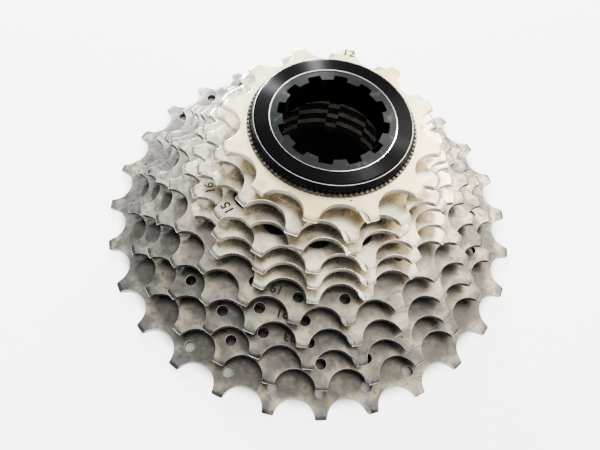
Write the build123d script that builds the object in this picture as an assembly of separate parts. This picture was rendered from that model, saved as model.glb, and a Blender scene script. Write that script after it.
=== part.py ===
from build123d import *
import os
from math import cos, pi, radians, sin

# Eleven-speed road cassette, 12 to 28 teeth. The axis is Z. The origin is the centre of the
# freehub bore on the flat back face, and +Z points to the lockring. Lengths are in
# millimetres and angles in degrees.

# Chain and stack
CHAIN_PITCH = 12.7
SPROCKET_THICKNESS = 1.6
SPROCKET_SPACING = 3.74
# Each sprocket from the back to the front, with the angle of its first tooth
TOOTH_PHASES = {
    28: 11.0,
    25: 7.3,
    23: 10.5,
    21: 16.9,
    19: 4.9,
    17: 0.2,
    16: 4.9,
    15: 9.3,
    14: 7.4,
    13: 11.7,
    12: 28.0,
}
TEETH = tuple(TOOTH_PHASES)

# Teeth: round gaps, whose centres lie outside the pitch circle, and tips, which lie less far outside it
GAP_RADIUS = 5.0
GAP_CENTRE_OFFSET = 0.6
TIP_ADDENDUM = 0.2
TIP_CORNER_RADIUS = 0.4
TIP_CHAMFER_RADIAL = 1.1
TIP_CHAMFER_AXIAL = 0.55
# Teeth cut low so that the chain can leave there, by sprocket and tooth number
LOW_TEETH = {17: (10,), 14: (8, 9, 10, 11, 12), 12: (7,)}
LOW_TOOTH_CUT = 1.1
SHIFT_ZONES = (56, 176, 296)
SHIFT_RAMP_TILT = 34
POCKET_RADIUS = 9.0
POCKET_DEPTH = 0.35

# Small round holes near the tooth roots, by sprocket and tooth number
ROOT_HOLE_RADIUS = 1.3
ROOT_HOLE_SETBACK = 1.5
ROOT_HOLES = {
    28: (3, 4, 5, 9, 10, 11, 18, 19, 20, 21, 22, 23),
    25: (0, 1, 9, 10, 17, 19, 20, 24),
    23: (6, 7, 8, 14, 15, 16, 17),
    21: (0, 1, 7, 8, 14, 15),
    19: (1, 2, 7, 8, 13, 14, 15),
    17: (2, 3, 8, 9, 14, 15),
}
# Large lightening holes, one behind each tooth, midway between the bore and the tooth roots
LIGHTENING_HOLE_RADIUS = 3.3
LIGHTENED = (16, 15)

# Splined bore that slides over the freehub body
SPLINE_COUNT = 9
SPLINE_MAJOR_RADIUS = 17.45
SPLINE_DEPTH = 1.15
SPLINE_WIDTH = 4.4
NARROW_SPLINE_WIDTH = 3.0
SPLINE_PHASE = 90
# The two front sprockets stand where the freehub is hollow, and their splines are this much shallower
FRONT_SPLINE_RELIEF = 0.3

# Loose spacers and built-in spacer bosses
SPACER_SETBACK = 0.8
BOSS_WALL = 2.1
HUB_WALL = 3.0

# Riveted units
UNIT_RING_OVERLAP = 3.0
UNIT_HUB_CLEARANCE = 1.1
ARM_COUNT = 6
ARM_PHASE = 30
ARM_WIDTH = 7.6
RIB_WIDTH = 3.2
RIB_CLEARANCE = 0.3
LUG_RADIUS = 3.0
RIVET_SETBACK = 2.6
RIVET_SHANK_RADIUS = 1.5
RIVET_HEAD_RADIUS = 2.1
RIVET_HEAD_DEPTH = 0.5

# Serrated washer under the lockring
WASHER_OVERHANG = 0.5
WASHER_SEAT_WIDTH = 1.0
WASHER_BASE_THICKNESS = 0.2
WASHER_RIDGE_HEIGHT = 0.3
WASHER_RIDGE_GROOVE_WIDTH = 0.55
WASHER_CLEARANCE = 0.3
SERRATION_COUNT = 100

# Lockring
THREAD_CLEARANCE = 1.0
THREAD_DEPTH = 0.5
THREAD_PITCH = 1.0583
THREAD_TURNS = 5
THREAD_RELIEF = 1.6
SLEEVE_WALL = 2.5
FLANGE_OVERHANG = 3.0
FLANGE_HEIGHT = 1.9
FLANGE_TAPER = 0.9
RIM_HEIGHT = 1.0
RIM_KNURL_DEPTH = 0.35
FACE_GROOVE_WIDTH = 0.25
FACE_GROOVE_DEPTH = 0.15
SOCKET_RIM_WIDTH = 1.5
SOCKET_RIM_STEP = 0.2
TOOL_NOTCH_COUNT = 12
TOOL_LAND_HEIGHT = 1.3
TOOL_LAND_ROOT_WIDTH = 3.6
TOOL_LAND_TIP_WIDTH = 2.7
TOOL_LAND_DEPTH = 6.0

# Sizes that follow from the ones above
AXIAL_GAP = SPROCKET_SPACING - SPROCKET_THICKNESS
GAP_ROOT_DEPTH = GAP_RADIUS - GAP_CENTRE_OFFSET
SPLINE_MINOR_RADIUS = SPLINE_MAJOR_RADIUS - SPLINE_DEPTH
HUB_RADIUS = SPLINE_MAJOR_RADIUS + HUB_WALL
BOSS_RADIUS = SPLINE_MAJOR_RADIUS + BOSS_WALL
THREAD_RADIUS = SPLINE_MINOR_RADIUS - THREAD_CLEARANCE
FLANGE_RADIUS = THREAD_RADIUS + FLANGE_OVERHANG
FACE_OUTER_RADIUS = FLANGE_RADIUS - FLANGE_TAPER
TOOL_MAJOR_RADIUS = THREAD_RADIUS - THREAD_DEPTH - SLEEVE_WALL
TOOL_MINOR_RADIUS = TOOL_MAJOR_RADIUS - TOOL_LAND_HEIGHT
FACE_INNER_RADIUS = TOOL_MAJOR_RADIUS + SOCKET_RIM_WIDTH
WASHER_BORE_RADIUS = THREAD_RADIUS + WASHER_CLEARANCE
WASHER_OUTER_RADIUS = FLANGE_RADIUS + WASHER_OVERHANG
WASHER_THICKNESS = WASHER_BASE_THICKNESS + WASHER_RIDGE_HEIGHT


def pitch_radius(teeth):
    """Radius of the circle that the chain's pins lie on."""
    return CHAIN_PITCH / 2 / sin(pi / teeth)


def tip_radius(teeth):
    """Radius of the tooth tips."""
    return pitch_radius(teeth) + TIP_ADDENDUM


def gap_centre_radius(teeth):
    """Radius of the circle that the centres of the gaps lie on."""
    return pitch_radius(teeth) + GAP_CENTRE_OFFSET


def root_radius(teeth):
    """Radius at the bottom of the tooth gaps."""
    return pitch_radius(teeth) - GAP_ROOT_DEPTH


def back(teeth):
    """Height of a sprocket's back face."""
    return TEETH.index(teeth) * SPROCKET_SPACING


def front(teeth):
    """Height of a sprocket's front face."""
    return back(teeth) + SPROCKET_THICKNESS


def next_smaller(teeth):
    """The sprocket in front of this one."""
    return TEETH[TEETH.index(teeth) + 1]


def ring_inner_radius(teeth):
    """Inner radius of a riveted ring: behind the sprocket in front, and clear of the hub."""
    hidden = root_radius(next_smaller(teeth)) - UNIT_RING_OVERLAP
    return max(hidden, HUB_RADIUS + UNIT_HUB_CLEARANCE + LUG_RADIUS + RIVET_SETBACK)


def rivet_radius(teeth):
    """Radius of the circle of rivets that hold a sprocket ring."""
    return ring_inner_radius(teeth) - RIVET_SETBACK


STACK_TOP = front(12)
SPLIT_HEIGHT = front(23) + AXIAL_GAP / 2


def slab(sketch, low, high):
    """A flat sketch raised into a solid between two heights."""
    return extrude(Pos(0, 0, low) * sketch, amount=high - low)


def lathe(*profile):
    """A solid turned round the axis from points of radius and height."""
    with BuildPart() as turned:
        with BuildSketch(Plane.XZ):
            Polygon(*profile, align=None)
        revolve(axis=Axis.Z)
    return turned.part


def spline_hole(relief=0):
    """Outline of the freehub bore, with one narrow spline as its key and its spline tips cut back."""
    hole = Circle(SPLINE_MAJOR_RADIUS)
    for index in range(SPLINE_COUNT):
        width = NARROW_SPLINE_WIDTH if index == 0 else SPLINE_WIDTH
        tongue = Pos(SPLINE_MAJOR_RADIUS, 0) * Rectangle(4 * SPLINE_DEPTH, width)
        hole -= Rot(0, 0, SPLINE_PHASE + index * 360 / SPLINE_COUNT) * tongue
    return hole + Circle(SPLINE_MINOR_RADIUS + relief)


def tooth_angle(teeth, number):
    """Angle of one tooth, counted from the first."""
    return TOOTH_PHASES[teeth] + number * 360 / teeth


def tooth_disc(teeth):
    """A toothed disc with chamfered tips, before its bore and holes."""
    tip = tip_radius(teeth)
    centre = gap_centre_radius(teeth)
    gaps = [
        Rot(0, 0, tooth_angle(teeth, number + 0.5)) * Pos(centre, 0) * Circle(GAP_RADIUS)
        for number in range(teeth)
    ]
    low, high = back(teeth), front(teeth)
    outline = Rot(0, 0, tooth_angle(teeth, 0.5)) * Circle(tip) - gaps
    outline = fillet(outline.vertices(), TIP_CORNER_RADIUS)
    for number in LOW_TEETH.get(teeth, ()):
        cut = Pos(tip - LOW_TOOTH_CUT + GAP_RADIUS, 0) * Rectangle(2 * GAP_RADIUS, 2 * GAP_RADIUS)
        outline -= Rot(0, 0, tooth_angle(teeth, number)) * cut
    disc = slab(outline, low, high)
    blank = lathe(
        (0, low),
        (tip - TIP_CHAMFER_RADIAL, low),
        (tip, low + TIP_CHAMFER_AXIAL),
        (tip, high - TIP_CHAMFER_AXIAL),
        (tip - TIP_CHAMFER_RADIAL, high),
        (0, high),
    )
    return disc & blank


def shift_teeth(teeth):
    """The tooth nearest to each shifting zone."""
    step = 360 / teeth
    return [round((zone - TOOTH_PHASES[teeth]) / step) for zone in SHIFT_ZONES]


def shift_ramps(teeth):
    """Tilted cuts that start at a shifting tooth's back edge and thin its flank to the front."""
    centre = gap_centre_radius(teeth)
    cutter = Cylinder(GAP_RADIUS * cos(radians(SHIFT_RAMP_TILT)), 4 * SPROCKET_SPACING)
    ramps = []
    for number in shift_teeth(teeth):
        place = Rot(0, 0, tooth_angle(teeth, number - 0.5)) * Pos(centre, 0, back(teeth))
        ramps.append(place * Rot(-SHIFT_RAMP_TILT, 0, 0) * cutter)
    return ramps


def shift_pockets(teeth):
    """Shallow round pockets in the front face beside each shifting tooth."""
    pockets = []
    for number in shift_teeth(teeth):
        place = Rot(0, 0, tooth_angle(teeth, number + 1)) * Pos(tip_radius(teeth) + GAP_RADIUS, 0)
        pocket = Cylinder(POCKET_RADIUS, 2 * POCKET_DEPTH)
        pockets.append(place * Pos(0, 0, front(teeth)) * pocket)
    return pockets


def root_holes(teeth):
    """Outlines of the small round holes beside the tooth roots."""
    radius = root_radius(teeth) - ROOT_HOLE_SETBACK
    return [
        Rot(0, 0, tooth_angle(teeth, number)) * Pos(radius, 0) * Circle(ROOT_HOLE_RADIUS)
        for number in ROOT_HOLES.get(teeth, ())
    ]


def lightening_holes(teeth):
    """Outlines of the large round holes, if this sprocket has them."""
    if teeth not in LIGHTENED:
        return []
    radius = (SPLINE_MAJOR_RADIUS + root_radius(teeth)) / 2
    return [
        Rot(0, 0, tooth_angle(teeth, number)) * Pos(radius, 0) * Circle(LIGHTENING_HOLE_RADIUS)
        for number in range(teeth)
    ]


def arm_angles():
    """Angles of the carrier arms, which are also those of the rivets."""
    return [ARM_PHASE + index * 360 / ARM_COUNT for index in range(ARM_COUNT)]


def loose_sprocket(teeth, boss_radius=0):
    """A one-piece steel sprocket, with a spacer boss on its back if it has one."""
    body = tooth_disc(teeth)
    for cutter in shift_ramps(teeth):
        body -= cutter
    for outline in root_holes(teeth) + lightening_holes(teeth):
        body -= slab(outline, back(teeth) - 1, front(teeth) + 1)
    relief = 0
    if boss_radius:
        body += slab(Circle(boss_radius), back(teeth) - AXIAL_GAP, back(teeth))
        relief = FRONT_SPLINE_RELIEF
    return body - slab(spline_hole(relief), back(teeth) - SPROCKET_SPACING, front(teeth) + 1)


def ring_sprocket(teeth, rivets_at):
    """A titanium sprocket ring with a rivet lug at each carrier arm."""
    inner = ring_inner_radius(teeth)
    opening = Circle(inner)
    for angle in arm_angles():
        reach = inner - rivets_at + 1
        opening -= Rot(0, 0, angle) * Pos(rivets_at, 0) * Circle(LUG_RADIUS)
        opening -= Rot(0, 0, angle) * Pos(rivets_at + reach / 2, 0) * Rectangle(reach, 2 * LUG_RADIUS)
    body = tooth_disc(teeth) - slab(opening, back(teeth) - 1, front(teeth) + 1)
    for cutter in shift_ramps(teeth) + shift_pockets(teeth):
        body -= cutter
    for outline in root_holes(teeth):
        body -= slab(outline, back(teeth) - 1, front(teeth) + 1)
    return body


def spacer(behind, outer_radius):
    """A loose ring that fills the gap in front of a sprocket."""
    return slab(Circle(outer_radius) - spline_hole(), front(behind), front(behind) + AXIAL_GAP)


def rivet(radius, angle, low, high):
    """One flush rivet with a head let into each end."""
    middle = (low + high) / 2
    shank = Cylinder(RIVET_SHANK_RADIUS, high - low)
    head = Cylinder(RIVET_HEAD_RADIUS, RIVET_HEAD_DEPTH)
    offset = (high - low - RIVET_HEAD_DEPTH) / 2
    solid = shank + Pos(0, 0, offset) * head + Pos(0, 0, -offset) * head
    return Rot(0, 0, angle) * Pos(radius, 0, middle) * solid


def rivet_ring(radius, low, high):
    """The rivets of one circle, one at each carrier arm."""
    return [rivet(radius, angle, low, high) for angle in arm_angles()]


def arms(reach, low, high, width):
    """Flat round-ended arms from the hub out to a circle of rivets."""
    shape = Circle(HUB_RADIUS)
    for angle in arm_angles():
        shape += Rot(0, 0, angle) * Pos(reach / 2, 0) * Rectangle(reach, width)
        shape += Rot(0, 0, angle) * Pos(reach, 0) * Circle(width / 2)
    return slab(shape, low, high)


def carrier(low, high, plates, ribs):
    """A carrier: a splined hub, with plates of arms and the ribs that join the plates."""
    body = slab(Circle(HUB_RADIUS), low, high)
    for reach, plate_low, plate_high in plates:
        body += arms(reach, plate_low, plate_high, ARM_WIDTH)
    for reach, rib_low, rib_high in ribs:
        body += arms(reach, rib_low, rib_high, RIB_WIDTH)
    return body - slab(spline_hole(), low - 1, high + 1)


def drilled(body, rivets):
    """A piece with a seat cut for each rivet that passes through it."""
    for one in rivets:
        body -= one
    return body


def lockring_profile(base, top):
    """Half section of the lockring, from its threaded sleeve up to its face."""
    sleeve_end = base - THREAD_RELIEF - THREAD_TURNS * THREAD_PITCH
    points = [(TOOL_MAJOR_RADIUS, sleeve_end)]
    for turn in range(THREAD_TURNS):
        height = sleeve_end + turn * THREAD_PITCH
        points.append((THREAD_RADIUS - THREAD_DEPTH, height))
        points.append((THREAD_RADIUS, height + THREAD_PITCH / 2))
    points += [
        (THREAD_RADIUS - THREAD_DEPTH, base - THREAD_RELIEF),
        (THREAD_RADIUS - THREAD_DEPTH, base),
        (FLANGE_RADIUS - RIM_KNURL_DEPTH, base),
        (FLANGE_RADIUS - RIM_KNURL_DEPTH, base + RIM_HEIGHT),
        (FACE_OUTER_RADIUS, top),
        (FACE_OUTER_RADIUS - FACE_GROOVE_WIDTH, top - FACE_GROOVE_DEPTH),
        (FACE_OUTER_RADIUS - 2 * FACE_GROOVE_WIDTH, top),
        (FACE_INNER_RADIUS + FACE_GROOVE_WIDTH, top),
        (FACE_INNER_RADIUS, top - SOCKET_RIM_STEP),
        (TOOL_MAJOR_RADIUS, top - SOCKET_RIM_STEP),
    ]
    return points


def rim_knurl():
    """Outline of the knurled rim: a pointed ridge at each serration."""
    points = []
    for index in range(SERRATION_COUNT):
        for radius, share in ((FLANGE_RADIUS - RIM_KNURL_DEPTH, 0), (FLANGE_RADIUS, 0.5)):
            point = Vector(radius, 0).rotate(Axis.Z, (index + share) * 360 / SERRATION_COUNT)
            points.append((point.X, point.Y))
    return Polygon(*points, align=None) - Circle(THREAD_RADIUS)


def tool_lands():
    """Outlines of the lands between the notches that the lockring tool turns by."""
    inner = TOOL_MINOR_RADIUS - THREAD_DEPTH
    outer = TOOL_MAJOR_RADIUS + THREAD_DEPTH
    land = Polygon(
        (inner, -TOOL_LAND_TIP_WIDTH / 2),
        (TOOL_MINOR_RADIUS, -TOOL_LAND_TIP_WIDTH / 2),
        (TOOL_MAJOR_RADIUS, -TOOL_LAND_ROOT_WIDTH / 2),
        (outer, -TOOL_LAND_ROOT_WIDTH / 2),
        (outer, TOOL_LAND_ROOT_WIDTH / 2),
        (TOOL_MAJOR_RADIUS, TOOL_LAND_ROOT_WIDTH / 2),
        (TOOL_MINOR_RADIUS, TOOL_LAND_TIP_WIDTH / 2),
        (inner, TOOL_LAND_TIP_WIDTH / 2),
        align=None,
    )
    land -= Circle(TOOL_MINOR_RADIUS)
    step = 360 / TOOL_NOTCH_COUNT
    return [Rot(0, 0, (index + 0.5) * step) * land for index in range(TOOL_NOTCH_COUNT)]


def lockring():
    """The lockring: coned flange with a knurled rim, threaded sleeve and notched socket."""
    base = STACK_TOP + WASHER_THICKNESS
    top = base + FLANGE_HEIGHT
    body = lathe(*lockring_profile(base, top)) + slab(rim_knurl(), base, base + RIM_HEIGHT)
    land_top = top - SOCKET_RIM_STEP
    for outline in tool_lands():
        body += slab(outline, land_top - TOOL_LAND_DEPTH, land_top)
    return body


def lockring_washer():
    """The thin washer under the lockring, with radial ridges round its rim."""
    ring = Circle(WASHER_OUTER_RADIUS) - Circle(WASHER_BORE_RADIUS)
    body = slab(ring, STACK_TOP, STACK_TOP + WASHER_THICKNESS)
    inner = WASHER_BORE_RADIUS + WASHER_SEAT_WIDTH
    reach = WASHER_OUTER_RADIUS - inner + 1
    groove = Pos(inner + reach / 2, 0) * Rectangle(reach, WASHER_RIDGE_GROOVE_WIDTH)
    step = 360 / SERRATION_COUNT
    grooves = Sketch() + [Rot(0, 0, index * step) * groove for index in range(SERRATION_COUNT)]
    ridge_base = STACK_TOP + WASHER_BASE_THICKNESS
    return body - slab(grooves, ridge_base, ridge_base + WASHER_THICKNESS)


def large_unit():
    """The riveted unit of the 23, 25 and 28 sprockets, as separate pieces."""
    outer_plate = (front(28), back(25))
    inner_plate = (front(25), back(23))
    rivets = {
        28: rivet_ring(rivet_radius(28), back(28), outer_plate[1]),
        25: rivet_ring(rivet_radius(25), outer_plate[0], inner_plate[1]),
        23: rivet_ring(rivet_radius(23), inner_plate[0], front(23)),
    }
    plates = [(rivet_radius(28), *outer_plate), (rivet_radius(25), *inner_plate)]
    rib_reach = rivet_radius(25) - LUG_RADIUS - RIB_WIDTH / 2 - RIB_CLEARANCE
    ribs = [(rib_reach, outer_plate[1], inner_plate[0])]
    body = carrier(back(28), SPLIT_HEIGHT, plates, ribs)
    pieces = {"carrier_23_25_28": drilled(body, rivets[28] + rivets[25] + rivets[23])}
    for teeth, ring in rivets.items():
        pieces[f"sprocket_{teeth}t"] = drilled(ring_sprocket(teeth, rivet_radius(teeth)), ring)
        pieces[f"rivets_{teeth}t"] = Compound(children=ring)
    return pieces


def small_unit():
    """The riveted unit of the 19 and 21 sprockets, as separate pieces."""
    radius = rivet_radius(19)
    ring = rivet_ring(radius, back(21), front(19))
    body = carrier(SPLIT_HEIGHT, front(19), [(radius, front(21), back(19))], [])
    pieces = {"carrier_19_21": drilled(body, ring), "rivets_19t_21t": Compound(children=ring)}
    for teeth in (21, 19):
        pieces[f"sprocket_{teeth}t"] = drilled(ring_sprocket(teeth, radius), ring)
    return pieces


def loose_pieces():
    """The loose sprockets, spacers, washer and lockring."""
    pieces = {"spacer_17_19": spacer(19, HUB_RADIUS)}
    for behind, ahead in ((17, 16), (16, 15), (15, 14)):
        outer = root_radius(ahead) - SPACER_SETBACK
        pieces[f"spacer_{ahead}_{behind}"] = spacer(behind, outer)
    for teeth in (17, 16, 15, 14):
        pieces[f"sprocket_{teeth}t"] = loose_sprocket(teeth)
    for teeth in (13, 12):
        pieces[f"sprocket_{teeth}t"] = loose_sprocket(teeth, BOSS_RADIUS)
    pieces["lockring_washer"] = lockring_washer()
    pieces["lockring"] = lockring()
    return pieces


os.makedirs("parts", exist_ok=True)
for name, piece in {**large_unit(), **small_unit(), **loose_pieces()}.items():
    export_step(piece, f"parts/{name}.step")
    print(name, len(piece.solids()), "solids", round(piece.volume, 1), "mm3")
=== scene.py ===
"""Looks for the eleven-speed bicycle cassette: bright worn edges and painted highlights, real
finishes with painted shade at the roots and flanks, and tooth marks.
"""

import logging
import math
from dataclasses import dataclass, replace
from enum import Enum, IntEnum

import bpy
from mathutils import Matrix, Vector


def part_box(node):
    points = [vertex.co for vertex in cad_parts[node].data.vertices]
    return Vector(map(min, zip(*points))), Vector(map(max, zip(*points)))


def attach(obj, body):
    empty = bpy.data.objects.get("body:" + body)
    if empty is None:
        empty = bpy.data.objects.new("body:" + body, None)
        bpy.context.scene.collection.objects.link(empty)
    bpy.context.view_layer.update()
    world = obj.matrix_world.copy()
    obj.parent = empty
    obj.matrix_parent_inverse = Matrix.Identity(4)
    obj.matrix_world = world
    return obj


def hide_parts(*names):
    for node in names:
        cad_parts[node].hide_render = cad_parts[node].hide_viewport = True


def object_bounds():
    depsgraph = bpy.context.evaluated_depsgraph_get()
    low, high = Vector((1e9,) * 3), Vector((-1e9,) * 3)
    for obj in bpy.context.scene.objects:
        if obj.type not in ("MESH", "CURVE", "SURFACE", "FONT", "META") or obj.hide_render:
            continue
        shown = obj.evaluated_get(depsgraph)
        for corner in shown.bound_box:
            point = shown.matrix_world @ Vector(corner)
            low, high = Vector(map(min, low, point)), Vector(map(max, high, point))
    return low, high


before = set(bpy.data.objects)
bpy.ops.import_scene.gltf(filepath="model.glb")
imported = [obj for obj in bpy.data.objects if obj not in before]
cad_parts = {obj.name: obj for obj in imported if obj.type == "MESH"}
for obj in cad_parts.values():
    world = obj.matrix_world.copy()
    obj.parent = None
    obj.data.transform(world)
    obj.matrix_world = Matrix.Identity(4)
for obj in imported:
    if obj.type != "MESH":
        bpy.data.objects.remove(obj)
CAD_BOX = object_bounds()
LOG = logging.getLogger("cassette")
MM = 0.001

# Corners of the CAD mesh nearer than this are one corner, and faces flatter than this are one face.
MERGE_MM = 0.001
FLAT_ANGLE = 0.5
# An edge turned by more than this is sharp, and is broken as on the real part.
SHARP_ANGLE = 28
# The ring texture draws this many rings in each unit of its scaled coordinates.
RINGS_PER_UNIT = 20 / (2 * math.pi)
# A numeral's height as a share of the text's size
NUMERAL_SHARE = 0.7


class Body(Enum):
    """The rigid bodies of the cassette."""

    STACK = "stack"
    WASHER = "washer"
    LOCKRING = "lockring"


# ---------------------------------------------------------------- modelling and node helpers


def linear(colour: str) -> tuple[float, float, float, float]:
    """Turns an sRGB hex colour into the linear colour that shaders use.

    Args:
        colour: Six hex digits after a hash sign.

    Returns:
        Linear red, green and blue, and an alpha of one.
    """
    channels = [int(colour[index : index + 2], 16) / 255 for index in (1, 3, 5)]
    curved = [c / 12.92 if c <= 0.04045 else ((c + 0.055) / 1.055) ** 2.4 for c in channels]
    return (curved[0], curved[1], curved[2], 1.0)


def scale_for(size_mm: float) -> float:
    """Texture scale that makes a pattern's features about this many millimetres wide."""
    return 1 / (size_mm * MM)


def add_node(
    tree: bpy.types.NodeTree,
    kind: str,
    settings: dict[str, object] | None = None,
    inputs: dict[str | int, object] | None = None,
) -> bpy.types.Node:
    """Adds one node to a material or to the room.

    Args:
        tree: Node tree to add to.
        kind: Blender's type name of the node.
        settings: Properties of the node and their values.
        inputs: Values for its sockets, or the output sockets to link to them.

    Returns:
        The new node.
    """
    node = tree.nodes.new(kind)
    for name, value in (settings or {}).items():
        setattr(node, name, value)
    for socket, value in (inputs or {}).items():
        if isinstance(value, bpy.types.NodeSocket):
            tree.links.new(value, node.inputs[socket])
        else:
            node.inputs[socket].default_value = value
    return node


def deselect_all() -> None:
    """Leaves object mode with nothing selected."""
    if bpy.context.object and bpy.context.object.mode != "OBJECT":
        bpy.ops.object.mode_set(mode="OBJECT")
    bpy.ops.object.select_all(action="DESELECT")


def activate(piece: bpy.types.Object) -> None:
    """Makes one object the only selected and active one.

    Args:
        piece: The object to select.
    """
    deselect_all()
    piece.select_set(True)
    bpy.context.view_layer.objects.active = piece


def apply_modifier(piece: bpy.types.Object, kind: str, **settings: object) -> None:
    """Adds a modifier with these settings to an object and applies it.

    Args:
        piece: The object to change.
        kind: Blender's type name of the modifier.
        settings: Properties of the modifier and their values.
    """
    activate(piece)
    modifier = piece.modifiers.new(kind.title(), kind)
    for name, value in settings.items():
        setattr(modifier, name, value)
    bpy.ops.object.modifier_apply(modifier=modifier.name)


def merged_copy(node: str, name: str) -> bpy.types.Object:
    """Copies a CAD node into a new piece and joins its loose triangles into one skin.

    Args:
        node: Name of the CAD node.
        name: Name of the new piece.

    Returns:
        The new piece, in place of the CAD node.
    """
    piece = bpy.data.objects.new(name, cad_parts[node].data.copy())
    bpy.context.scene.collection.objects.link(piece)
    activate(piece)
    bpy.ops.mesh.customdata_custom_splitnormals_clear()
    bpy.ops.object.mode_set(mode="EDIT")
    bpy.ops.mesh.select_all(action="SELECT")
    bpy.ops.mesh.remove_doubles(threshold=MERGE_MM * MM)
    bpy.ops.mesh.dissolve_limited(angle_limit=math.radians(FLAT_ANGLE))
    bpy.ops.object.mode_set(mode="OBJECT")
    piece.data.materials.clear()
    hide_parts(node)
    return piece


def soften_edges(piece: bpy.types.Object, width_mm: float, segments: int = 2) -> None:
    """Breaks every sharp edge of a piece, and gives the new narrow faces material slot 1.

    Args:
        piece: The piece to change.
        width_mm: Width of the broken edge.
        segments: Number of faces across it.
    """
    apply_modifier(
        piece,
        "BEVEL",
        width=width_mm * MM,
        segments=segments,
        limit_method="ANGLE",
        angle_limit=math.radians(SHARP_ANGLE),
        use_clamp_overlap=False,
        material=1,
    )


def smooth(piece: bpy.types.Object, angle: float = 35) -> None:
    """Shades a piece smooth over its broken edges and leaves its large faces flat.

    Args:
        piece: The piece to shade.
        angle: Greatest angle between two faces, in degrees, that is shaded smooth.
    """
    activate(piece)
    bpy.ops.object.shade_smooth_by_angle(angle=math.radians(angle))
    apply_modifier(piece, "WEIGHTED_NORMAL", keep_sharp=True, weight=100)


def paint_band(
    piece: bpy.types.Object, slot: int, inner_mm: float, outer_mm: float, above_mm: float
) -> None:
    """Gives a material slot to the faces that lie wholly in a ring round the axis.

    Args:
        piece: The piece to paint.
        slot: Index of the material slot.
        inner_mm: Inner radius of the ring.
        outer_mm: Outer radius of the ring.
        above_mm: Height over which the faces' corners lie.
    """
    for face in piece.data.polygons:
        corners = [piece.data.vertices[index].co / MM for index in face.vertices]
        radii = [corner.xy.length for corner in corners]
        low = min(corner.z for corner in corners)
        if min(radii) > inner_mm and max(radii) < outer_mm and low > above_mm:
            face.material_index = slot


# ---------------------------------------------------------------- finishes


@dataclass(frozen=True)
class Finish:
    """A named surface finish. Each kind of finish builds its own node material."""

    name: str

    def material(self) -> bpy.types.Material:
        """Builds the finish's material the first time that it is asked for.

        Returns:
            The material.
        """
        found = bpy.data.materials.get(self.name)
        if found:
            return found
        made = bpy.data.materials.new(self.name)
        made.use_nodes = True
        shader = made.node_tree.nodes["Principled BSDF"]
        place = add_node(made.node_tree, "ShaderNodeTexCoord")
        self.dress(made.node_tree, shader, place)
        return made

    def dress(
        self, tree: bpy.types.NodeTree, shader: bpy.types.Node, place: bpy.types.Node
    ) -> None:
        """Adds the finish's own nodes.

        Args:
            tree: Node tree of the material.
            shader: The material's shader.
            place: Texture coordinates of the piece.
        """
        raise NotImplementedError


def patches(
    tree: bpy.types.NodeTree,
    place: bpy.types.NodeSocket,
    size_mm: float,
    low: float,
    high: float,
    detail: float = 3.0,
) -> bpy.types.NodeSocket:
    """Soft random patches, from 0 between them to 1 inside them.

    Args:
        tree: Node tree of the material.
        place: Coordinates that the patches follow.
        size_mm: Width of a patch.
        low: Noise level at which a patch starts.
        high: Noise level at which it is full.
        detail: How many finer layers are added.

    Returns:
        The socket that gives the patches.
    """
    noise = add_node(
        tree,
        "ShaderNodeTexNoise",
        inputs={"Vector": place, "Scale": scale_for(size_mm), "Detail": detail},
    )
    spread = add_node(
        tree,
        "ShaderNodeMapRange",
        {"interpolation_type": "SMOOTHSTEP"},
        {"Value": noise.outputs["Fac"], "From Min": low, "From Max": high},
    )
    return spread.outputs["Result"]


def layered(
    tree: bpy.types.NodeTree,
    base: tuple[float, float, float, float],
    layers: list[tuple[bpy.types.NodeSocket, str, str]],
) -> bpy.types.NodeSocket:
    """Builds a colour up in layers, as dirt, stain and wear lie on a surface, with painted shade
    among them.

    Args:
        tree: Node tree of the material.
        base: Colour beneath them all.
        layers: For each layer a mask, its sRGB hex colour and how it acts on what is beneath.

    Returns:
        The socket that gives the finished colour.
    """
    colour = base
    for mask, shade, blend in layers:
        layer = add_node(
            tree,
            "ShaderNodeMix",
            {"data_type": "RGBA", "blend_type": blend},
            {0: mask, 6: colour, 7: linear(shade)},
        )
        colour = layer.outputs[2]
    return colour


def radial_ramp(
    tree: bpy.types.NodeTree,
    place: bpy.types.NodeSocket,
    inner_mm: float,
    outer_mm: float,
    inside: float,
    outside: float,
) -> bpy.types.NodeSocket:
    """Value that changes smoothly with the distance from the cassette's axis.

    Args:
        tree: Node tree of the material.
        place: Object coordinates of the piece.
        inner_mm: Radius where the change starts.
        outer_mm: Radius where it ends.
        inside: Value within the inner radius.
        outside: Value beyond the outer radius.

    Returns:
        The socket that gives the value.
    """
    flat = add_node(
        tree,
        "ShaderNodeVectorMath",
        {"operation": "MULTIPLY"},
        {0: place, 1: (1.0, 1.0, 0.0)},
    )
    radius = add_node(
        tree, "ShaderNodeVectorMath", {"operation": "LENGTH"}, {0: flat.outputs["Vector"]}
    )
    ramp = add_node(
        tree,
        "ShaderNodeMapRange",
        {"interpolation_type": "SMOOTHSTEP"},
        {
            "Value": radius.outputs["Value"],
            "From Min": inner_mm * MM,
            "From Max": outer_mm * MM,
            "To Min": inside,
            "To Max": outside,
        },
    )
    return ramp.outputs["Result"]


def wall_mask(
    tree: bpy.types.NodeTree, place: bpy.types.Node, strength: float = 0.85
) -> bpy.types.NodeSocket:
    """Mask that is strongest on upright walls, such as tooth flanks, and 0 on flat faces.

    Args:
        tree: Node tree of the material.
        place: Texture coordinates of the piece.
        strength: Value on a wall.

    Returns:
        The socket that gives the mask.
    """
    parts = add_node(tree, "ShaderNodeSeparateXYZ", inputs={0: place.outputs["Normal"]})
    level = add_node(
        tree, "ShaderNodeMath", {"operation": "ABSOLUTE"}, {0: parts.outputs["Z"]}
    )
    mask = add_node(
        tree,
        "ShaderNodeMapRange",
        inputs={
            "Value": level.outputs[0],
            "From Min": 0.2,
            "From Max": 0.8,
            "To Min": strength,
            "To Max": 0.0,
        },
    )
    return mask.outputs["Result"]


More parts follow.
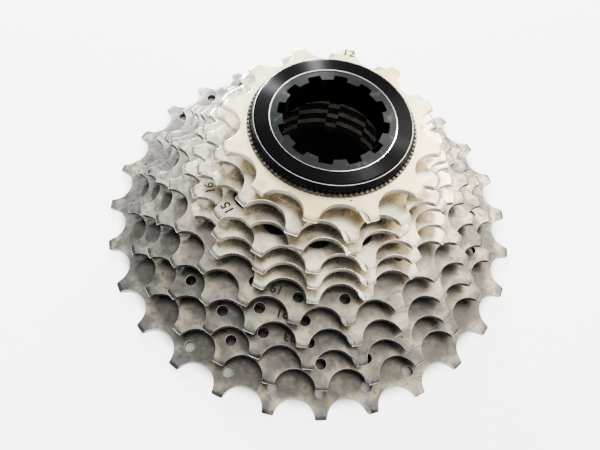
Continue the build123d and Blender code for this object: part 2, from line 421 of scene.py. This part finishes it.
@dataclass(frozen=True)
class SprocketMetal(Finish):
    """Blanked sprocket metal: mottled faces, flanks darkened by stamping and painted shade, and
    soil and painted shade at the roots.

    The real tumbling grain is a tenth of a millimetre or finer and too fine to show, so grain_mm
    draws it three to five times as coarse.
    """

    face: str
    stain: str
    oil: str
    # The flank colour is partly the stamped finish of the walls and partly painted shade on them.
    flank: str
    # The soil colour is both soil and painted shade, darker where the sprocket above shades the
    # roots.
    soil: str
    roughness: tuple[float, float]
    stain_mm: float
    grain_mm: float
    grain_depth_mm: float
    speck_level: float
    root_mm: float = 0.0
    # How far the soil and painted shade reach inside and outside the roots, and how strong they
    # are.
    soil_below_mm: float = 2.0
    soil_above_mm: float = 1.2
    soil_share: float = 0.85
    speck: str = "#2a2118"
    speck_mm: float = 0.9

    def dress(
        self, tree: bpy.types.NodeTree, shader: bpy.types.Node, place: bpy.types.Node
    ) -> None:
        """Adds stains, oil, soil and painted shade at the roots, flanks partly darkened with
        painted shade, specks and grain.

        Args:
            tree: Node tree of the material.
            shader: The material's shader.
            place: Texture coordinates of the piece.
        """
        spot = place.outputs["Object"]
        stains = patches(tree, spot, self.stain_mm, low=0.44, high=0.62, detail=5.0)
        oil = patches(tree, spot, self.stain_mm / 2, low=0.44, high=0.74, detail=4.0)
        full_speck = self.speck_level + 0.05
        specks = patches(tree, spot, self.speck_mm, self.speck_level, full_speck, detail=1.0)
        # Darker ring round the tooth roots under the sprocket above: soil, and painted shade.
        soil = radial_ramp(
            tree,
            spot,
            self.root_mm - self.soil_below_mm,
            self.root_mm + self.soil_above_mm,
            inside=self.soil_share,
            outside=0.0,
        )
        layers = [
            (stains, self.stain, "MIX"),
            (oil, self.oil, "MULTIPLY"),
            (soil, self.soil, "MIX"),
            # Flank colour on the gap walls: partly the stamped finish, partly painted shade.
            (wall_mask(tree, place), self.flank, "MIX"),
            (specks, self.speck, "MIX"),
        ]
        colour = layered(tree, linear(self.face), layers)
        tree.links.new(colour, shader.inputs["Base Color"])
        shader.inputs["Metallic"].default_value = 1.0
        shine = add_node(
            tree,
            "ShaderNodeMapRange",
            inputs={
                "Value": patches(tree, spot, self.stain_mm * 0.4, low=0.3, high=0.7),
                "To Min": self.roughness[0],
                "To Max": self.roughness[1],
            },
        )
        tree.links.new(shine.outputs["Result"], shader.inputs["Roughness"])
        grain = add_node(
            tree,
            "ShaderNodeTexNoise",
            inputs={"Vector": spot, "Scale": scale_for(self.grain_mm), "Detail": 2.0},
        )
        bump = add_node(
            tree,
            "ShaderNodeBump",
            inputs={
                "Strength": 0.6,
                "Distance": self.grain_depth_mm * MM,
                "Height": grain.outputs["Fac"],
            },
        )
        tree.links.new(bump.outputs["Normal"], shader.inputs["Normal"])


@dataclass(frozen=True)
class WornEdge(Finish):
    """Metal rubbed bright where the chain and hands touch it, painted pale on sprocket edges also
    as a highlight.
    """

    colour: str
    dull: str
    roughness: float
    patch_mm: float = 2.5

    def dress(
        self, tree: bpy.types.NodeTree, shader: bpy.types.Node, place: bpy.types.Node
    ) -> None:
        """Adds bare metal with a faint uneven tone.

        Args:
            tree: Node tree of the material.
            shader: The material's shader.
            place: Texture coordinates of the piece.
        """
        worn = patches(tree, place.outputs["Object"], self.patch_mm, low=0.35, high=0.7)
        colour = layered(tree, linear(self.colour), [(worn, self.dull, "MIX")])
        tree.links.new(colour, shader.inputs["Base Color"])
        shader.inputs["Metallic"].default_value = 1.0
        shader.inputs["Roughness"].default_value = self.roughness


@dataclass(frozen=True)
class MouldedNylon(Finish):
    """Moulded glass-filled nylon: black, slightly grainy and dull.

    The mould's own grain is too fine to show, so grain_mm draws it coarser.
    """

    colour: str
    dust: str = "#2b2926"
    dust_mm: float = 3.0
    roughness: float = 0.55
    grain_mm: float = 0.3
    grain_depth_mm: float = 0.02

    def dress(
        self, tree: bpy.types.NodeTree, shader: bpy.types.Node, place: bpy.types.Node
    ) -> None:
        """Adds dust in patches over the moulded grain.

        Args:
            tree: Node tree of the material.
            shader: The material's shader.
            place: Texture coordinates of the piece.
        """
        spot = place.outputs["Object"]
        dust = patches(tree, spot, self.dust_mm, low=0.5, high=0.8)
        colour = layered(tree, linear(self.colour), [(dust, self.dust, "MIX")])
        tree.links.new(colour, shader.inputs["Base Color"])
        shader.inputs["Roughness"].default_value = self.roughness
        grain = add_node(
            tree,
            "ShaderNodeTexNoise",
            inputs={"Vector": spot, "Scale": scale_for(self.grain_mm), "Detail": 2.0},
        )
        bump = add_node(
            tree,
            "ShaderNodeBump",
            inputs={
                "Strength": 0.5,
                "Distance": self.grain_depth_mm * MM,
                "Height": grain.outputs["Fac"],
            },
        )
        tree.links.new(bump.outputs["Normal"], shader.inputs["Normal"])


@dataclass(frozen=True)
class TurnedAluminium(Finish):
    """Aluminium turned on a lathe and anodised, so that its fine rings draw light into streaks.

    The real rings are a few hundredths of a millimetre apart and too fine to show. ring_mm draws
    them far coarser, and streaks gives their effect on the highlights.
    """

    colour: str
    worn: str
    roughness: float
    ring_mm: float
    streaks: float
    scuff_mm: float = 1.6
    ring_depth_mm: float = 0.01

    def dress(
        self, tree: bpy.types.NodeTree, shader: bpy.types.Node, place: bpy.types.Node
    ) -> None:
        """Adds scuffs, turning rings and highlights drawn out along the radius.

        Args:
            tree: Node tree of the material.
            shader: The material's shader.
            place: Texture coordinates of the piece.
        """
        spot = place.outputs["Object"]
        scuffs = patches(tree, spot, self.scuff_mm, low=0.5, high=0.75, detail=6.0)
        colour = layered(tree, linear(self.colour), [(scuffs, self.worn, "MIX")])
        tree.links.new(colour, shader.inputs["Base Color"])
        shader.inputs["Metallic"].default_value = 1.0
        shader.inputs["Roughness"].default_value = self.roughness
        shader.inputs["Anisotropic"].default_value = self.streaks
        # A quarter turn lays the streaks along the radius, across the rings.
        shader.inputs["Anisotropic Rotation"].default_value = 0.25
        tangent = add_node(tree, "ShaderNodeTangent", {"direction_type": "RADIAL", "axis": "Z"})
        tree.links.new(tangent.outputs["Tangent"], shader.inputs["Tangent"])
        rings = add_node(
            tree,
            "ShaderNodeTexWave",
            {"wave_type": "RINGS", "rings_direction": "Z"},
            {
                "Vector": spot,
                "Scale": scale_for(self.ring_mm) / RINGS_PER_UNIT,
                "Distortion": 1.5,
                "Detail": 2.0,
            },
        )
        bump = add_node(
            tree,
            "ShaderNodeBump",
            inputs={
                "Strength": 0.35,
                "Distance": self.ring_depth_mm * MM,
                "Height": rings.outputs["Fac"],
            },
        )
        tree.links.new(bump.outputs["Normal"], shader.inputs["Normal"])


@dataclass(frozen=True)
class EtchedOxide(Finish):
    """Laser-etched mark: a dark dull oxide that is thin in places."""

    colour: str
    thin: str
    patch_mm: float = 0.6

    def dress(
        self, tree: bpy.types.NodeTree, shader: bpy.types.Node, place: bpy.types.Node
    ) -> None:
        """Adds a dark oxide that has rubbed thin in places.

        Args:
            tree: Node tree of the material.
            shader: The material's shader.
            place: Texture coordinates of the piece.
        """
        thin = patches(tree, place.outputs["Object"], self.patch_mm, low=0.6, high=0.9)
        colour = layered(tree, linear(self.colour), [(thin, self.thin, "MIX")])
        tree.links.new(colour, shader.inputs["Base Color"])
        shader.inputs["Roughness"].default_value = 0.7


@dataclass(frozen=True)
class PaintedBoard(Finish):
    """Smooth white board with a painted glow, and a painted shadow where the cassette covers it."""

    colour: str
    haze: str
    glow: float
    dark_mm: float
    fade_mm: float = 4.0
    haze_mm: float = 120.0

    def dress(
        self, tree: bpy.types.NodeTree, shader: bpy.types.Node, place: bpy.types.Node
    ) -> None:
        """Adds a very faint unevenness to a dull white, and a painted glow outside the cassette
        that fades to a painted shadow beneath it.

        Args:
            tree: Node tree of the material.
            shader: The material's shader.
            place: Texture coordinates of the board.
        """
        spot = place.outputs["Object"]
        haze = patches(tree, spot, self.haze_mm, low=0.3, high=0.7)
        colour = layered(tree, linear(self.colour), [(haze, self.haze, "MIX")])
        tree.links.new(colour, shader.inputs["Base Color"])
        shader.inputs["Roughness"].default_value = 0.8
        shader.inputs["Emission Color"].default_value = linear(self.colour)
        lit_mm = self.dark_mm + self.fade_mm
        # Painted shadow: no glow near the axis, where the cassette covers the board, rising to full
        # glow further out.
        glow = radial_ramp(tree, spot, self.dark_mm, lit_mm, inside=0.0, outside=self.glow)
        tree.links.new(glow, shader.inputs["Emission Strength"])


# Nickel plating over tumbled steel: a warm, soft shine, with grey-brown flanks and a darker ring at
# the roots, both partly painted shade.
# The outermost sprocket's face is the palest and cleanest, and the others are glossier, cooler and
# more stained.
OUTER_NICKEL = SprocketMetal(
    "nickel_plated_steel_outer",
    face="#fff1c6",
    stain="#f0e1b8",
    oil="#f4eddd",
    flank="#96928b",
    soil="#ebdfc2",
    roughness=(0.34, 0.44),
    stain_mm=9.0,
    grain_mm=0.5,
    grain_depth_mm=0.010,
    speck_level=0.76,
)
NICKEL = SprocketMetal(
    "nickel_plated_steel",
    face="#f3ecdb",
    stain="#d2ccbd",
    oil="#e8e4db",
    flank="#8b8781",
    soil="#a09b94",
    roughness=(0.24, 0.34),
    stain_mm=5.0,
    grain_mm=0.5,
    grain_depth_mm=0.007,
    speck_level=0.84,
)
# Barrel-finished titanium: a dull grey with tan clouds of dried oil, darkest on its flanks and at
# its roots, where the colour is partly painted shade. The two smaller titanium sprockets are paler
# and cleaner.
TITANIUM = SprocketMetal(
    "barrelled_titanium",
    face="#6a6a6a",
    stain="#aca698",
    oil="#b2aca1",
    flank="#4b4b4a",
    soil="#525150",
    roughness=(0.27, 0.46),
    stain_mm=3.6,
    grain_mm=0.4,
    grain_depth_mm=0.026,
    speck_level=0.77,
)
CLEAN_TITANIUM = replace(
    TITANIUM, name="barrelled_titanium_clean", face="#8e8c87", stain="#bcb4a4", soil="#6c6a67"
)
# Edges that the chain has burnished, painted paler than the faces as a highlight too: thin bright
# outlines round every tooth, warm on nickel and greyer on titanium, with duller stretches between.
NICKEL_EDGE = WornEdge("worn_and_highlit_nickel_edge", colour="#fbf3e0", dull="#a39b8a", roughness=0.24)
TITANIUM_EDGE = WornEdge("worn_and_highlit_titanium_edge", colour="#b4b2ae", dull="#7b7975", roughness=0.30)
# Moulded nylon: black and dull, so that the spacers read as dark gaps between bright sprockets.
SPACER_NYLON = MouldedNylon("moulded_black_nylon", colour="#0d0d0e")
# Black anodising over polished, turned aluminium: nearly black, with narrow streaks of light.
LOCKRING_BLACK = TurnedAluminium(
    "polished_black_anodising",
    colour="#111114",
    worn="#17171a",
    roughness=0.36,
    ring_mm=1.57,
    streaks=0.97,
)
# Grey anodising over turned aluminium, on the socket's rim: a dark grey with broader streaks.
LOCKRING_GREY = TurnedAluminium(
    "turned_grey_anodising",
    colour="#25292b",
    worn="#3c4042",
    roughness=0.34,
    ring_mm=2.2,
    streaks=0.6,
)
# Black anodising over machined aluminium: an even satin black with no streaks.
CARRIER_BLACK = TurnedAluminium(
    "satin_black_anodising",
    colour="#1b1b1e",
    worn="#2f2d2b",
    roughness=0.45,
    ring_mm=2.51,
    streaks=0.0,
)
# Aluminium cut with a diamond tool after anodising: two fine silver lines on the lockring.
CUT_ALUMINIUM = WornEdge(
    "diamond_cut_aluminium", colour="#ffffff", dull="#dfe2e4", roughness=0.35
)
# Cold-headed steel: small, clean, pale rivet heads with a soft shine.
RIVET_STEEL = SprocketMetal(
    "headed_rivet_steel",
    face="#c8c6c0",
    stain="#a8a49a",
    oil="#d8d4cc",
    flank="#a5a39e",
    soil="#a8a49a",
    roughness=(0.28, 0.40),
    stain_mm=2.0,
    grain_mm=0.3,
    grain_depth_mm=0.008,
    speck_level=0.80,
)
# Pressed steel, worn and oily: a dark grey-brown rim of fine ridges that glint.
WASHER_STEEL = SprocketMetal(
    "pressed_washer_steel",
    face="#8a867e",
    stain="#68645c",
    oil="#c8c2b6",
    flank="#4c4943",
    soil="#68645c",
    roughness=(0.32, 0.46),
    stain_mm=1.5,
    grain_mm=0.3,
    grain_depth_mm=0.008,
    speck_level=0.74,
)
# Laser-etched oxide: matt, nearly black numerals, greyer where they have rubbed thin.
MARK = EtchedOxide("etched_oxide", colour="#1d1b18", thin="#4b463c")
# Painted white board with a painted glow that stands in for the light falling on it, so that it
# shows next to no shadow, and a painted shadow under the cassette.
FLOOR = PaintedBoard(
    "white_board_with_painted_glow", colour="#fafafa", haze="#f4f4f2", glow=4.6, dark_mm=51.5
)


# ---------------------------------------------------------------- sub-assemblies


class SubAssembly:
    """A part of the cassette that makes its own visible pieces."""

    def build(self) -> list[bpy.types.Object]:
        """Makes the visible pieces.

        Returns:
            The finished pieces.
        """
        raise NotImplementedError


@dataclass
class Sprocket(SubAssembly):
    """One toothed sprocket, with its broken edges rubbed bright and painted pale as a highlight."""

    teeth: int
    finish: SprocketMetal
    edge: WornEdge
    slot: str
    edge_mm: float = 0.11
    tooth_mm: float = 4.6

    @property
    def node(self) -> str:
        """Name of the sprocket's CAD node."""
        return f"sprocket_{self.teeth}t"

    @property
    def root_mm(self) -> float:
        """Radius of the sprocket's tooth roots."""
        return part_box(self.node)[1].x / MM - self.tooth_mm

    def build(self) -> list[bpy.types.Object]:
        """Makes the sprocket's visible skin.

        Returns:
            The finished piece, in a list.
        """
        piece = merged_copy(self.node, f"{self.node}_skin")
        name = f"{self.finish.name}_{self.teeth}t"
        metal = replace(self.finish, name=name, root_mm=self.root_mm)
        piece.data.materials.append(metal.material())
        # The edge finish in slot 1 paints the broken edges pale: wear, and a painted highlight.
        piece.data.materials.append(self.edge.material())
        soften_edges(piece, self.edge_mm)
        smooth(piece)
        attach(piece, Body.STACK.value)
        return [piece]


@dataclass
class ToothMark(SubAssembly):
    """A sprocket's tooth count, etched on its front face."""

    teeth: int
    radius_mm: float
    angle: float
    height_mm: float = 2.15
    stroke_mm: float = 0.065
    thickness_mm: float = 0.02

    def build(self) -> list[bpy.types.Object]:
        """Makes the number and lays it on the sprocket, its top pointing outwards.

        Returns:
            The finished piece, in a list.
        """
        deselect_all()
        bpy.ops.object.text_add(location=(0, 0, 0))
        piece = bpy.context.object
        piece.name = f"count_{self.teeth}"
        piece.data.body = str(self.teeth)
        piece.data.align_x = "CENTER"
        piece.data.align_y = "CENTER"
        piece.data.size = self.height_mm * MM / NUMERAL_SHARE
        piece.data.extrude = self.thickness_mm * MM / 2
        piece.data.offset = self.stroke_mm * MM
        bpy.ops.object.convert(target="MESH")
        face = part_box(f"sprocket_{self.teeth}t")[1].z
        turn = math.radians(self.angle)
        spot = Vector((math.cos(turn), math.sin(turn), 0)) * self.radius_mm * MM
        spot.z = face + self.thickness_mm * MM / 2
        upright = Matrix.Rotation(turn - math.pi / 2, 4, "Z")
        piece.data.transform(Matrix.Translation(spot) @ upright)
        piece.data.materials.clear()
        piece.data.materials.append(MARK.material())
        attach(piece, Body.STACK.value)
        return [piece]


@dataclass
class Spacer(SubAssembly):
    """A black ring between two loose sprockets."""

    node: str
    edge_mm: float = 0.15

    def build(self) -> list[bpy.types.Object]:
        """Makes the spacer's visible skin.

        Returns:
            The finished piece, in a list.
        """
        piece = merged_copy(self.node, f"{self.node}_skin")
        piece.data.materials.append(SPACER_NYLON.material())
        soften_edges(piece, self.edge_mm)
        smooth(piece)
        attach(piece, Body.STACK.value)
        return [piece]


@dataclass
class RivetedUnit(SubAssembly):
    """A carrier and the rivets that hold sprockets to it."""

    carrier: str
    rivets: tuple[str, ...]
    arm_edge_mm: float = 0.3
    rivet_edge_mm: float = 0.2

    def build(self) -> list[bpy.types.Object]:
        """Makes the carrier and each circle of rivets.

        Returns:
            The finished pieces.
        """
        carrier = merged_copy(self.carrier, f"{self.carrier}_skin")
        carrier.data.materials.append(CARRIER_BLACK.material())
        soften_edges(carrier, self.arm_edge_mm)
        smooth(carrier)
        pieces = [carrier]
        for node in self.rivets:
            rivets = merged_copy(node, f"{node}_skin")
            rivets.data.materials.append(RIVET_STEEL.material())
            soften_edges(rivets, self.rivet_edge_mm)
            smooth(rivets)
            pieces.append(rivets)
        for piece in pieces:
            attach(piece, Body.STACK.value)
        return pieces


@dataclass
class Washer(SubAssembly):
    """The ridged washer that the lockring bites on."""

    edge_mm: float = 0.06

    def build(self) -> list[bpy.types.Object]:
        """Makes the washer's visible skin.

        Returns:
            The finished piece, in a list.
        """
        piece = merged_copy("lockring_washer", "lockring_washer_skin")
        piece.data.materials.append(WASHER_STEEL.material())
        soften_edges(piece, self.edge_mm, segments=1)
        smooth(piece)
        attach(piece, Body.WASHER.value)
        return [piece]


class LockringSlot(IntEnum):
    """Material slots of the lockring. Slots 0 and 1 are the black body and its broken edges."""

    GREY_RIM = 2
    CUT_LINE = 3


@dataclass
class Lockring(SubAssembly):
    """The lockring: black face band between two diamond-cut lines, and a grey socket rim.

    The rim runs from rim_inner_mm to socket_mm, and inner_line_mm is how far the inner line
    reaches inwards and outwards from there.
    """

    rim_inner_mm: float = 10.5
    socket_mm: float = 13.85
    face_mm: float = 17.4
    face_depth_mm: float = 0.25
    inner_line_mm: tuple[float, float] = (-0.1, 0.25)
    line_mm: float = 0.28
    reach_mm: float = 0.02
    edge_mm: float = 0.06

    def build(self) -> list[bpy.types.Object]:
        """Makes the lockring's visible skin.

        Returns:
            The finished piece, in a list.
        """
        piece = merged_copy("lockring", "lockring_skin")
        for finish in (LOCKRING_BLACK, LOCKRING_BLACK, LOCKRING_GREY, CUT_ALUMINIUM):
            piece.data.materials.append(finish.material())
        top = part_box("lockring")[1].z / MM
        low = top - self.face_depth_mm
        paint_band(piece, LockringSlot.GREY_RIM, self.rim_inner_mm, self.socket_mm, low)
        self.cut_line(piece, top)
        inner, outer = (self.socket_mm + shift for shift in self.inner_line_mm)
        paint_band(piece, LockringSlot.CUT_LINE, inner, outer, low)
        soften_edges(piece, self.edge_mm, segments=1)
        smooth(piece)
        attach(piece, Body.LOCKRING.value)
        return [piece]

    def cut_line(self, piece: bpy.types.Object, top: float) -> None:
        """Cuts the bright line round the face's outer edge.

        Args:
            piece: The lockring's skin.
            top: Height of its face in millimetres.
        """
        activate(piece)
        bpy.ops.object.mode_set(mode="EDIT")
        bpy.ops.mesh.select_mode(type="EDGE")
        bpy.ops.mesh.select_all(action="DESELECT")
        bpy.ops.object.mode_set(mode="OBJECT")
        for edge in piece.data.edges:
            ends = [piece.data.vertices[index].co / MM for index in edge.vertices]
            edge.select = all(
                abs(end.xy.length - self.face_mm) < self.reach_mm
                and abs(end.z - top) < self.reach_mm
                for end in ends
            )
        bpy.ops.object.mode_set(mode="EDIT")
        bpy.ops.mesh.bevel(
            offset=self.line_mm * MM / 2, segments=1, material=LockringSlot.CUT_LINE
        )
        bpy.ops.object.mode_set(mode="OBJECT")


@dataclass(frozen=True)
class Lamp:
    """One square soft light."""

    name: str
    place_mm: tuple[float, float, float]
    size_mm: float
    watts: float
    colour: str
    aim_mm: tuple[float, float, float] = (0, 0, 20)

    def hang(self) -> None:
        """Hangs the lamp in its place, facing the middle of the cassette."""
        lamp = bpy.data.lights.new(self.name, "AREA")
        lamp.size = self.size_mm * MM
        lamp.energy = self.watts
        lamp.color = linear(self.colour)[:3]
        holder = bpy.data.objects.new(self.name, lamp)
        bpy.context.scene.collection.objects.link(holder)
        holder.location = Vector(self.place_mm) * MM
        aim = Vector(self.aim_mm) * MM - holder.location
        holder.rotation_euler = aim.to_track_quat("-Z", "Y").to_euler()


@dataclass
class Studio:
    """A white floor, soft light and the camera."""

    floor_m: float = 3.0
    floor_gap_mm: float = 0.02
    lamps: tuple[Lamp, ...] = (
        Lamp("key", (230, 380, 400), size_mm=200, watts=2.2, colour="#fff3dc"),
        Lamp("streak_left", (-230, 395, 240), size_mm=30, watts=5.0, colour="#ffffff"),
        Lamp("streak_back", (-80, 530, 205), size_mm=30, watts=3.5, colour="#fffdf4"),
    )
    camera_mm: tuple[float, float, float] = (-1.94, -70.76, 122.07)
    camera_turn: tuple[float, float, float] = (27.818, -4.839, 9.969)
    lens_mm: float = 29.07
    nearest_mm: float = 5.0
    farthest_mm: float = 10000.0
    bright_way: tuple[float, float, float] = (0.40, 0.35, 0.85)
    bright_from: float = 0.55
    room_level: tuple[float, float] = (0.5, 3.2)
    room_shade: str = "#dde1e8"
    room_light: str = "#fff5e6"

    def build(self) -> None:
        """Lays the floor, hangs the lights and places the camera."""
        self.floor()
        for lamp in self.lamps:
            lamp.hang()
        self.world()
        self.camera()

    def floor(self) -> None:
        """Lays a wide white board under the cassette."""
        deselect_all()
        height = CAD_BOX[0].z - self.floor_gap_mm * MM
        bpy.ops.mesh.primitive_plane_add(size=self.floor_m, location=(0, 0, height))
        board = bpy.context.object
        board.name = "floor"
        board.data.materials.append(FLOOR.material())

    def world(self) -> None:
        """Lights the room: dim and cool low down, bright and warm above the back right."""
        room = bpy.data.worlds.new("room")
        room.use_nodes = True
        tree = room.node_tree
        way = add_node(tree, "ShaderNodeTexCoord")
        towards = add_node(
            tree,
            "ShaderNodeVectorMath",
            {"operation": "DOT_PRODUCT"},
            {0: way.outputs["Generated"], 1: self.bright_way},
        )
        window = add_node(
            tree,
            "ShaderNodeMapRange",
            {"interpolation_type": "SMOOTHSTEP"},
            {"Value": towards.outputs["Value"], "From Min": self.bright_from, "From Max": 1.0},
        )
        dim, bright = self.room_level
        level = add_node(
            tree,
            "ShaderNodeMath",
            {"operation": "MULTIPLY_ADD"},
            {0: window.outputs["Result"], 1: bright - dim, 2: dim},
        )
        warmth = (window.outputs["Result"], self.room_light, "MIX")
        tone = layered(tree, linear(self.room_shade), [warmth])
        background = tree.nodes["Background"]
        tree.links.new(tone, background.inputs["Color"])
        tree.links.new(level.outputs[0], background.inputs["Strength"])
        bpy.context.scene.world = room

    def camera(self) -> None:
        """Places the camera 12 cm up, just in front of the teeth, and tips it down at them."""
        lens = bpy.data.cameras.new("camera")
        lens.lens = self.lens_mm
        lens.clip_start = self.nearest_mm * MM
        lens.clip_end = self.farthest_mm * MM
        holder = bpy.data.objects.new("camera", lens)
        bpy.context.scene.collection.objects.link(holder)
        holder.location = Vector(self.camera_mm) * MM
        holder.rotation_euler = [math.radians(turn) for turn in self.camera_turn]
        bpy.context.scene.camera = holder


def main() -> None:
    """Builds every sub-assembly and reports each piece."""
    logging.basicConfig(level=logging.INFO, format="%(message)s")
    Studio().build()
    steel, titanium = (13, 14, 15, 16, 17), (23, 25, 28)
    spacers = ("spacer_14_15", "spacer_15_16", "spacer_16_17", "spacer_17_19")
    parts: list[SubAssembly] = [Sprocket(12, OUTER_NICKEL, NICKEL_EDGE, "nickel_steel")]
    parts += [Sprocket(teeth, NICKEL, NICKEL_EDGE, "nickel_steel") for teeth in steel]
    parts += [Sprocket(teeth, CLEAN_TITANIUM, TITANIUM_EDGE, "titanium") for teeth in (19, 21)]
    parts += [Sprocket(teeth, TITANIUM, TITANIUM_EDGE, "titanium") for teeth in titanium]
    parts += [Spacer(node) for node in spacers]
    parts += [
        RivetedUnit("carrier_19_21", ("rivets_19t_21t",)),
        RivetedUnit("carrier_23_25_28", ("rivets_23t", "rivets_25t", "rivets_28t")),
        Washer(),
        Lockring(),
        ToothMark(12, radius_mm=22.6, angle=88.0),
        ToothMark(15, radius_mm=27.3, angle=225.3),
        ToothMark(16, radius_mm=28.4, angle=207.4),
        ToothMark(19, radius_mm=32.1, angle=260.7),
        ToothMark(21, radius_mm=36.0, angle=265.5),
        ToothMark(23, radius_mm=40.0, angle=269.9),
    ]
    for part in parts:
        for piece in part.build():
            LOG.info("%s: %d faces", piece.name, len(piece.data.polygons))


if __name__ == "__main__":
    main()
